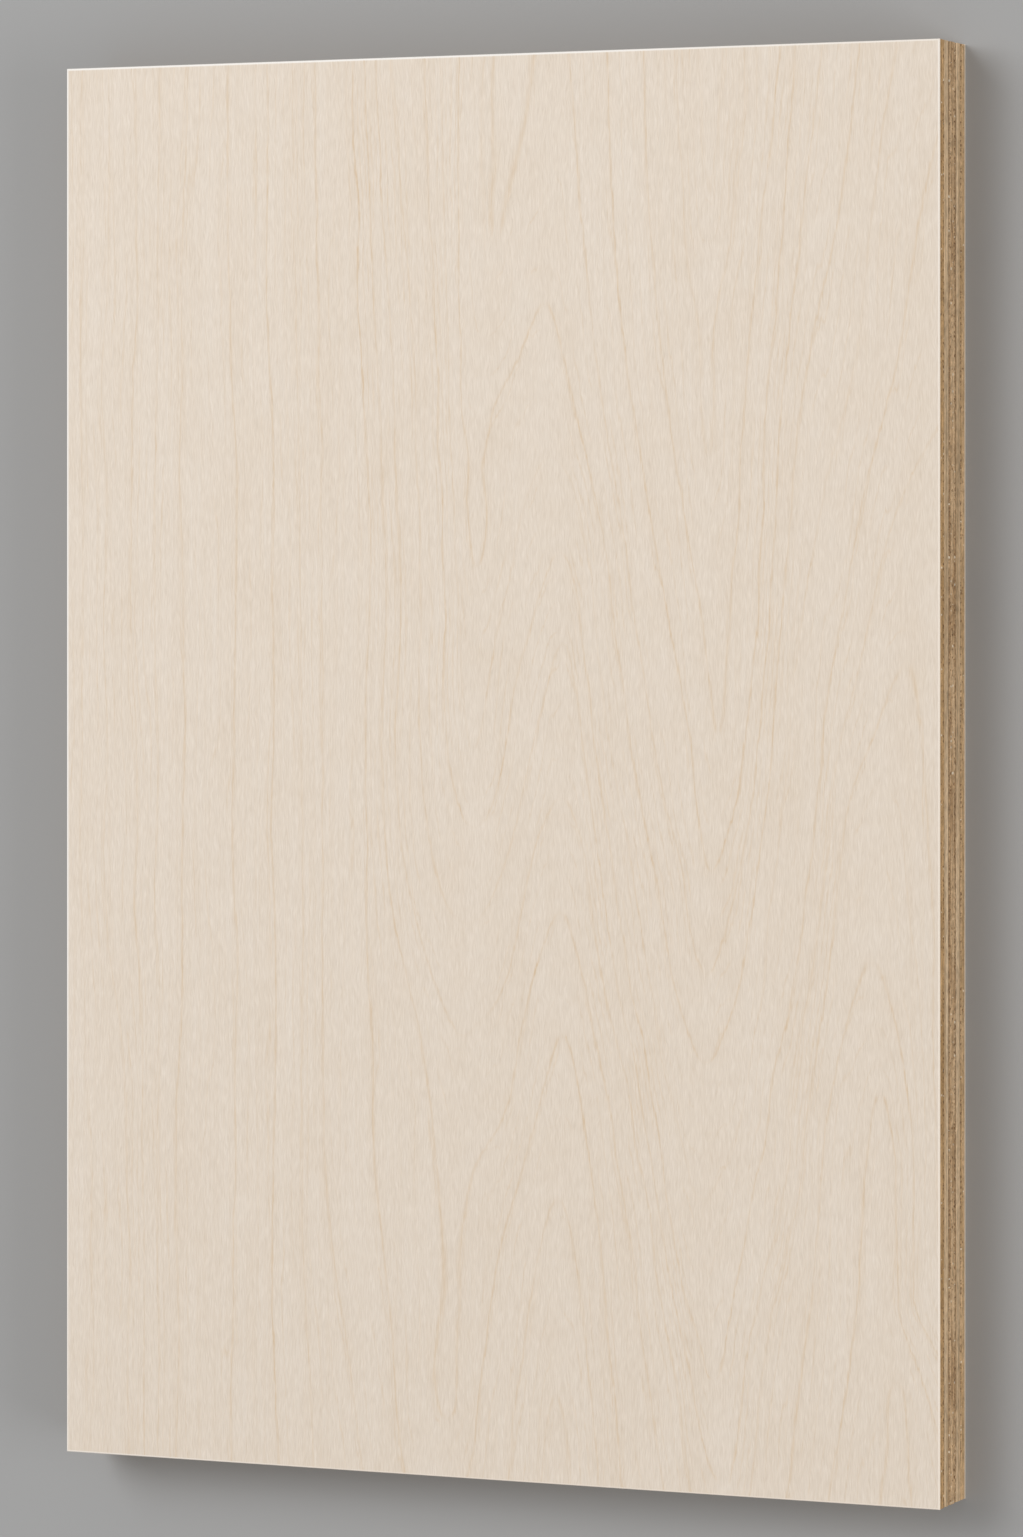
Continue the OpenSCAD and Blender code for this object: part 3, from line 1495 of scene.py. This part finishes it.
def sanded_tree() -> WorkTree:
    """Builds the tree that sands a veneer: its softer early wood dips between the ring lines.

    Returns:
        The tree.
    """
    names = ("Half Width", "Half Length", "Bare Side", "Outward", "Ring Relief", "Margin")
    work = WorkTree("sanded_veneer", names)
    g, enter, point = work.graph, work.enter, work.point
    dip_power = 3.0
    fibre_size = (1.6, 18.0)
    fibre_seed = 3.0
    fibre_share = 1.6
    rim_share = 0.2
    x, y, z = g.split(point)
    wave = g.math("COSINE", work.read(GROWTH) * math.tau)
    dip = (wave * 0.5 + 0.5) ** dip_power * work.read(LINE_STRENGTH)
    dip = dip + g.drawn(x, y, *fibre_size, fibre_seed) * fibre_share
    inside = g.ramp(from_edge(g, x, y, enter), enter["Margin"] * rim_share, enter["Margin"])
    bare = g.math("COMPARE", z, enter["Bare Side"], ON_EDGE)
    push = dip * inside * bare * enter["Ring Relief"]
    work.close(g.join(0.0, 0.0, push * -enter["Outward"]))
    return work


def placed(node: str, grain: Grain, sides: tuple[float, ...], seed: float) -> dict[str, float]:
    """Gives the place of a ply by the names of the node inputs.

    Args:
        node: the ply's CAD node.
        grain: which way its fibres run.
        sides: how strongly the pore rows show, low and high, and then the glue lines, low and high.
        seed: a number that picks its own pattern.

    Returns:
        The values, in millimetres where they are lengths.
    """
    low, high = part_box(node)
    return dict(zip(PLACE_NAMES, (low.z / MM, (high.z - low.z) / MM, grain.value, *sides, seed)))


def vertex_places(mesh: bpy.types.Mesh) -> np.ndarray:
    """Gives one row of three metres for each vertex of a mesh.

    Args:
        mesh: the mesh.

    Returns:
        The rows, in the order of the vertices.
    """
    places = np.empty(len(mesh.vertices) * 3, np.float32)
    mesh.vertices.foreach_get("co", places)
    return places.reshape(-1, 3)


def present(piece: bpy.types.Object, node: str, slot: str, angle: float) -> bpy.types.Object:
    """Puts a finished piece in the place of its CAD node.

    Args:
        piece: the finished piece.
        node: the CAD node that it stands for.
        slot: the record's material slot; not used.
        angle: edges sharper than this many degrees stay crisp.

    Returns:
        The piece.
    """
    mesh = piece.data
    mesh.polygons.foreach_set("use_smooth", np.ones(len(mesh.polygons), bool))
    mesh.set_sharp_from_angle(angle=math.radians(angle))
    mesh.update()
    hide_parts(node)
    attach(piece, "root")
    mesh.calc_loop_triangles()
    low, high = (tuple(corner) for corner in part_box(node))
    log.info("%s: %d triangles, CAD box %s to %s", piece.name, len(mesh.loop_triangles), low, high)
    return piece


@dataclass
class SawnPly:
    """One inner ply: square-trimmed, with sawn edges. Its reliefs are millimetres."""

    node: str
    grain: Grain
    finish: PlyFinish
    pores: PoreRule
    seed: float
    rows: tuple[float, float] = (1.0, 1.0)
    lines: tuple[float, float] = (1.0, 1.0)
    pore_depth: float = 0.22
    saw_relief: float = 0.07
    glue_groove: float = 0.10
    columns: tuple[int, int] = (736, 1088)
    row_height: float = 0.36 * MM
    cap_steps: tuple[int, int] = (8, 4)
    crisp: float = 62.0

    def placed(self) -> dict[str, float]:
        """Gives the ply's place by the names of the node inputs, in millimetres."""
        return placed(self.node, self.grain, (*self.rows, *self.lines), self.seed)

    def blank(self) -> bpy.types.Mesh:
        """Builds the square-trimmed ply, fine on its edges and coarse where it is glued.

        Returns:
            The mesh.
        """
        low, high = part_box(self.node)
        outline = Outline(high.x - low.x, high.y - low.y, *self.columns)
        made = Blank()
        spans = max(2, round((high.z - low.z) / self.row_height))
        heights = np.linspace(low.z, high.z, spans + 1)
        rows = [made.add(outline.row(height)) for height in heights]
        for below, above in zip(rows, rows[1:]):
            made.belt(below, above)
        made.cap(rows[-1], outline, high.z, self.cap_steps, flip=False)
        made.cap(rows[0], outline, low.z, self.cap_steps, flip=True)
        return made.mesh(self.node)

    def mark_ends(self, mesh: bpy.types.Mesh) -> None:
        """Stores 1 at the vertices of the two edges that cut across the fibres, and 0 elsewhere.

        Args:
            mesh: the ply's mesh.
        """
        _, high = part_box(self.node)
        axis, half = (0, high.x) if self.grain is Grain.ACROSS else (1, high.y)
        ends = np.abs(vertex_places(mesh)[:, axis]) > half - ON_EDGE * MM
        stored = mesh.attributes.new(END_GRAIN, "FLOAT", "POINT")
        stored.data.foreach_set("value", ends.astype(np.float32))

    def build(self, groups: Groups, tree: WorkTree) -> bpy.types.Object:
        """Builds and dresses the ply.

        Args:
            groups: the shared surface effects.
            tree: the tree that saws the edges.

        Returns:
            The finished ply.
        """
        _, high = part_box(self.node)
        values = {
            **self.placed(), **self.pores.named(),
            "Half Width": high.x / MM, "Half Length": high.y / MM, "Pore Depth": self.pore_depth,
            "Saw Relief": self.saw_relief, "Glue Groove": self.glue_groove,
            "Finish": self.finish.material(groups, self),
        }
        mesh = self.blank()
        self.mark_ends(mesh)
        piece = tree.work(f"{self.node}_sawn", mesh, values)
        return present(piece, self.node, self.finish.slot, self.crisp)


@dataclass
class OuterVeneer:
    """One outer veneer: a finely divided sheet with a sanded arris and a figured bare side.

    The ring relief, the flat margin and the widest pitch of the rings are millimetres.
    """

    node: str
    side: Side
    finish: VeneerFinish
    figure: GrowthFigure
    arris: float = 0.2 * MM
    columns: tuple[int, int] = (440, 165)
    ring_relief: float = 0.012
    margin: float = 3.0
    widest_pitch: float = 60.0
    cap_step: int = 5
    crisp: float = 30.0

    def blank(self) -> bpy.types.Mesh:
        """Builds the sheet: a grid on its bare side, the arris, the trimmed edge and the glue side.

        Returns:
            The mesh.
        """
        low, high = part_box(self.node)
        up = self.side is Side.FACE
        bare, glued = (high.z, low.z) if up else (low.z, high.z)
        shoulder = bare - self.arris * self.side.value
        outline = Outline(high.x - low.x, high.y - low.y, *self.columns)
        made = Blank()
        across, along = self.columns
        half_w, half_l = high.x - self.arris, high.y - self.arris
        columns = np.linspace(-half_w, half_w, across + 1)
        rows = np.linspace(-half_l, half_l, along + 1)
        x, y = np.meshgrid(columns, rows)
        grid = made.add(np.c_[x.ravel(), y.ravel(), np.full(x.size, bare)]).reshape(x.shape)
        corners = [grid[:-1, :-1], grid[:-1, 1:], grid[1:, 1:], grid[1:, :-1]]
        quads = np.stack(corners, axis=-1).reshape(-1, 4)
        made.faces += (quads if up else quads[:, ::-1]).tolist()
        rim = np.concatenate([grid[0, :-1], grid[:-1, -1], grid[-1, :0:-1], grid[:0:-1, 0]])
        edge = made.add(outline.row(shoulder))
        glue = made.add(outline.row(glued))
        lowest, highest = (glue, rim) if up else (rim, glue)
        made.belt(lowest, edge)
        made.belt(edge, highest)
        made.cap(glue, outline, glued, (self.cap_step,), flip=up)
        return made.mesh(self.node)

    def count_rings(self, mesh: bpy.types.Mesh) -> None:
        """Stores the ring count, the lines' strength, their pitch and their run at each vertex.

        Args:
            mesh: the veneer's mesh.
        """
        low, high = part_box(self.node)
        across, along = self.columns
        u = np.linspace(0.0, (high.x - low.x) / MM, across + 1)
        v = np.linspace(low.y / MM, high.y / MM, along + 1)
        counted = self.figure.count(*np.meshgrid(u, v))
        slope_v, slope_u = np.gradient(counted, v, u)
        slope = np.maximum(np.hypot(slope_u, slope_v), 1.0 / self.widest_pitch)
        place = vertex_places(mesh) / MM
        column = np.rint((place[:, 0] - u[0] - low.x / MM) / (u[1] - u[0]))
        column = np.clip(column, 0, across).astype(int)
        row = np.rint((place[:, 1] - v[0]) / (v[1] - v[0]))
        row = np.clip(row, 0, along).astype(int)
        fields = {
            GROWTH: counted,
            LINE_STRENGTH: self.figure.strengths(counted),
            RING_PITCH: 1.0 / slope,
            RING_RUN: np.abs(slope_u) / slope,
        }
        for name, values in fields.items():
            stored = mesh.attributes.new(name, "FLOAT", "POINT")
            stored.data.foreach_set("value", values[row, column].astype(np.float32))

    def build(self, groups: Groups, tree: WorkTree) -> bpy.types.Object:
        """Builds and dresses the veneer.

        Args:
            groups: the shared surface effects.
            tree: the tree that sands the bare side.

        Returns:
            The finished veneer.
        """
        low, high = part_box(self.node)
        mesh = self.blank()
        self.count_rings(mesh)
        up = self.side is Side.FACE
        glued_side = (0.0, 0.0, 1.0, 0.0) if up else (0.0, 0.0, 0.0, 1.0)
        place = placed(self.node, Grain.ALONG, glued_side, self.finish.seed)
        values = {
            "Half Width": high.x / MM, "Half Length": high.y / MM,
            "Bare Side": (high.z if up else low.z) / MM, "Outward": self.side.value,
            "Ring Relief": self.ring_relief, "Margin": self.margin,
            "Finish": self.finish.material(groups, place, (high.x / MM, high.y / MM)),
        }
        piece = tree.work(f"{self.node}_sanded", mesh, values)
        return present(piece, self.node, self.finish.slot, self.crisp)


@dataclass
class Lamp:
    """A soft square lamp that looks at the middle of the sheet."""

    name: str
    place: tuple[float, float, float]
    size: float
    watts: float

    def build(self) -> bpy.types.Object:
        """Sets up the lamp.

        Returns:
            The lamp.
        """
        data = bpy.data.lights.new(self.name, "AREA")
        data.shape = "SQUARE"
        data.size = self.size
        data.energy = self.watts
        lamp = bpy.data.objects.new(self.name, data)
        bpy.context.scene.collection.objects.link(lamp)
        lamp.location = self.place
        lamp.rotation_euler = (-lamp.location).to_track_quat("-Z", "Y").to_euler()
        return lamp


@dataclass
class Studio:
    """Plain floor, soft light and the camera that looks down on the sheet.

    The focal length and the drop of the frame are pixels of a picture of the given height. The
    camera leans by degrees, and its sensor is in millimetres.
    """

    floor_tone: Colour = (0.385, 0.388, 0.392)
    floor_half: float = 8.0
    sky_tone: Colour = (0.43, 0.42, 0.405)
    lamps: tuple[Lamp, ...] = (
        Lamp("key_lamp", (-0.9, 0.7, 1.6), 1.2, 21.0),
        Lamp("fill_lamp", (1.5, -0.3, 0.7), 1.0, 10.5),
    )
    camera_place: tuple[float, float, float] = (0.55349, 0.05226, 1.29389)
    camera_lean: float = 23.2417
    picture_height: float = 1537.0
    focal_pixels: float = 6008.34
    drop_pixels: float = 227.28
    sensor: float = 36.0
    floor_rough: float = 0.9
    floor_gloss: float = 0.1
    clip: tuple[float, float] = (0.05, 50.0)

    def build_floor(self) -> bpy.types.Object:
        """Lays the floor under the sheet.

        Returns:
            The floor.
        """
        half = self.floor_half
        mesh = bpy.data.meshes.new("floor")
        corners = [(-half, -half, 0.0), (half, -half, 0.0), (half, half, 0.0), (-half, half, 0.0)]
        mesh.from_pydata(corners, [], [(0, 1, 2, 3)])
        floor = bpy.data.objects.new("floor", mesh)
        bpy.context.scene.collection.objects.link(floor)
        material = bpy.data.materials.new("floor_paint")
        material.use_nodes = True
        shader = material.node_tree.nodes["Principled BSDF"]
        shader.inputs["Base Color"].default_value = (*self.floor_tone, 1.0)
        shader.inputs["Roughness"].default_value = self.floor_rough
        shader.inputs["Specular IOR Level"].default_value = self.floor_gloss
        mesh.materials.append(material)
        return floor

    def build_light(self) -> None:
        """Sets the even light of the room and the soft lamps."""
        world = bpy.data.worlds.new("room")
        world.use_nodes = True
        background = world.node_tree.nodes["Background"]
        background.inputs["Color"].default_value = (*self.sky_tone, 1.0)
        background.inputs["Strength"].default_value = 1.0
        bpy.context.scene.world = world
        for lamp in self.lamps:
            lamp.build()

    def build_camera(self) -> bpy.types.Object:
        """Sets the camera above the sheet's right side, level along the length.

        Returns:
            The camera.
        """
        data = bpy.data.cameras.new("camera")
        data.sensor_width = self.sensor
        data.lens = self.focal_pixels / self.picture_height * self.sensor
        data.shift_y = -self.drop_pixels / self.picture_height
        data.clip_start, data.clip_end = self.clip
        camera = bpy.data.objects.new("camera", data)
        bpy.context.scene.collection.objects.link(camera)
        camera.location = self.camera_place
        camera.rotation_euler = (0.0, math.radians(self.camera_lean), 0.0)
        bpy.context.scene.camera = camera
        return camera

    def build(self) -> None:
        """Builds the floor, the light and the camera."""
        self.build_floor()
        self.build_light()
        self.build_camera()
        bpy.context.scene.view_settings.view_transform = "Standard"


FACE_VENEER = VeneerFinish(
    name="face_veneer_wood",
    slot="pale_veneer",
    pale=(0.812, 0.742, 0.668),
    tan=(0.605, 0.430, 0.245),
    line=(0.632, 0.432, 0.225),
    # Arris colour: near white, a painted highlight, partly the sanded wood's own paleness
    sanding_and_highlight=(0.98, 0.955, 0.92),
    sawn=(0.93, 0.76, 0.58),
    glue=(0.36, 0.23, 0.12),
    seed=1.0,
)
# The back veneer's sawn edge is paler than the face veneer's: painted light that makes up for the floor's
# shade along the bottom of the edge
BACK_VENEER = replace(
    FACE_VENEER,
    name="back_veneer_wood",
    pale=(0.860, 0.768, 0.670),
    tan=(0.620, 0.430, 0.245),
    line=(0.615, 0.410, 0.215),
    # Arris colour: a painted highlight, partly the sanded wood's own paleness
    sanding_and_highlight=(0.93, 0.86, 0.77),
    sawn=(0.96, 0.79, 0.59),
    seed=5.0,
)
CROSSBAND = PlyFinish(
    name="crossband_wood",
    slot="crossband_wood",
    pale=(0.57, 0.358, 0.170),
    dark=(0.40, 0.236, 0.098),
    pore=(0.170, 0.086, 0.032),
    filled=(0.84, 0.74, 0.58),
    glue=(0.22, 0.118, 0.045),
    glue_width=0.34,
    speckle=0.8,
    streak=0.4,
)
# Paler than the face crossband: partly its own paler tone, partly painted light that makes up for the
# floor's shade low on the edge
BACK_CROSSBAND = replace(CROSSBAND, pale=(0.65, 0.440, 0.245), dark=(0.46, 0.295, 0.145))
INNER_PLY = PlyFinish(
    name="inner_ply_wood",
    slot="inner_ply_wood",
    pale=(0.71, 0.525, 0.335),
    dark=(0.49, 0.335, 0.190),
    pore=(0.26, 0.16, 0.08),
    filled=(0.82, 0.72, 0.56),
    glue=(0.30, 0.185, 0.09),
    glue_width=0.22,
    speckle=1.0,
    streak=1.0,
)
CORE = replace(
    CROSSBAND,
    name="core_wood",
    slot="core_wood",
    pale=(0.66, 0.460, 0.270),
    dark=(0.40, 0.245, 0.122),
    glue_width=0.60,
    speckle=1.2,
)

CROSS_PORES = PoreRule(1.05, 0.26, 0.80, 1.5, 0.19, 0.20)
LONG_PORES = PoreRule(2.0, 0.15, 0.30, 2.0, 0.13, 0.20)
CORE_PORES = PoreRule(1.15, 0.29, 0.74, 1.25, 0.23, 0.26)

VENEERS = (
    OuterVeneer("face_veneer", Side.FACE, FACE_VENEER, FACE_FIGURE),
    OuterVeneer("back_veneer", Side.BACK, BACK_VENEER, BACK_FIGURE),
)
PLIES = (
    SawnPly(
        "face_crossband", Grain.ACROSS, CROSSBAND, CROSS_PORES, 2.0, rows=(1.0, 0.0), lines=(1.0, 0.3)
    ),
    SawnPly("face_inner_ply", Grain.ALONG, INNER_PLY, LONG_PORES, 3.0),
    SawnPly("core_ply", Grain.ACROSS, CORE, CORE_PORES, 4.0, lines=(1.9, 1.2)),
    SawnPly("back_inner_ply", Grain.ALONG, INNER_PLY, LONG_PORES, 6.0, lines=(1.0, 0.4)),
    SawnPly(
        "back_crossband", Grain.ACROSS, BACK_CROSSBAND, CROSS_PORES, 7.0, rows=(0.0, 1.0), lines=(1.2, 0.5)
    ),
)


def main() -> None:
    """Builds the sheet ply by ply, then the studio; each piece logs its triangles and its CAD box."""
    logging.basicConfig(level=logging.INFO, format="%(message)s")
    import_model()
    groups = Groups()
    sanded, sawn = sanded_tree(), sawn_tree()
    for veneer in VENEERS:
        veneer.build(groups, sanded)
    for ply in PLIES:
        ply.build(groups, sawn)
    Studio().build()
    bpy.context.view_layer.update()


if __name__ == "__main__":
    main()
